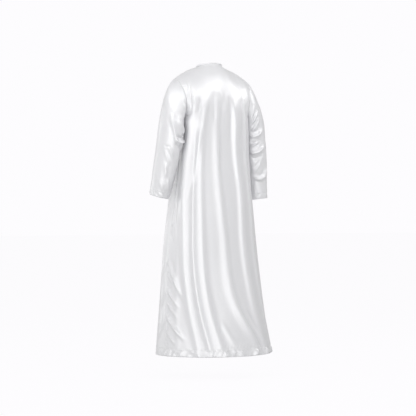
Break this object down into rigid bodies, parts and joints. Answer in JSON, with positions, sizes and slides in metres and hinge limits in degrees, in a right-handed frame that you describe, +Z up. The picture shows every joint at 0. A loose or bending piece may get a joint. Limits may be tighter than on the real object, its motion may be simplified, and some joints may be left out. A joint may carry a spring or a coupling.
{
  "type": "thobe robe",
  "caption": "Ankle-length long-sleeved thobe robe in plain satin, with a narrow neck band and a short buttoned front opening, hollow in the form in which it is worn.",
  "frame": {"origin": "between the shoulders, level with the points where the shoulder seams meet the neck seam", "axes": "+Z up as it is worn, the robe's front faces -Y, and the wearer's left is +X"},
  "size_m": [0.6471, 0.466, 1.4571],
  "materials": {
    "white_satin": "smooth warp-faced satin with a soft sheen",
    "pearl_button": "polished white resin"
  },
  "bodies": {
    "root": {"back": "white_satin", "front": "white_satin", "left_sleeve": "white_satin", "right_sleeve": "white_satin", "left_cuff_hem": "white_satin", "right_cuff_hem": "white_satin", "hem_turnup": "white_satin", "neck_band": "white_satin", "placket": "white_satin", "button_1": "pearl_button", "button_2": "pearl_button", "button_3": "pearl_button"}
  },
  "joints": []
}
